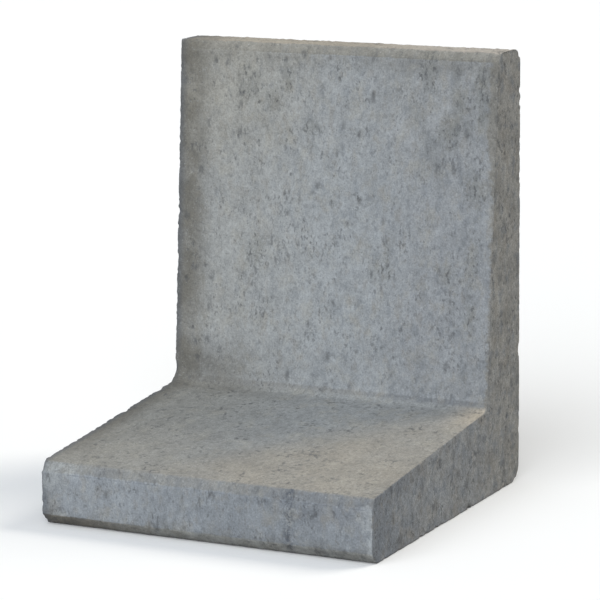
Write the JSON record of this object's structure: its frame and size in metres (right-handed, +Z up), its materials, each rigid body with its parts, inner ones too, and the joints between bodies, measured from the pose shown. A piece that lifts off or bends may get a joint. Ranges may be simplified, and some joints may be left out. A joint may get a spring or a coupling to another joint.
{
  "type": "L-shaped retaining block",
  "caption": "L-shaped cast concrete retaining block with a sloping stem front and a tapered foot.",
  "frame": {"origin": "middle of the underside, on the floor, halfway between the two ends and halfway between the toe and the flat back", "axes": "+X along the wall, from one end face to the other; +Y towards the flat vertical back of the stem, so the toe of the foot points to -Y; +Z up the stem"},
  "size_m": [0.4, 0.4, 0.5],
  "materials": {
    "concrete": "matte"
  },
  "bodies": {
    "root": {"retaining_block": "concrete"}
  },
  "joints": []
}
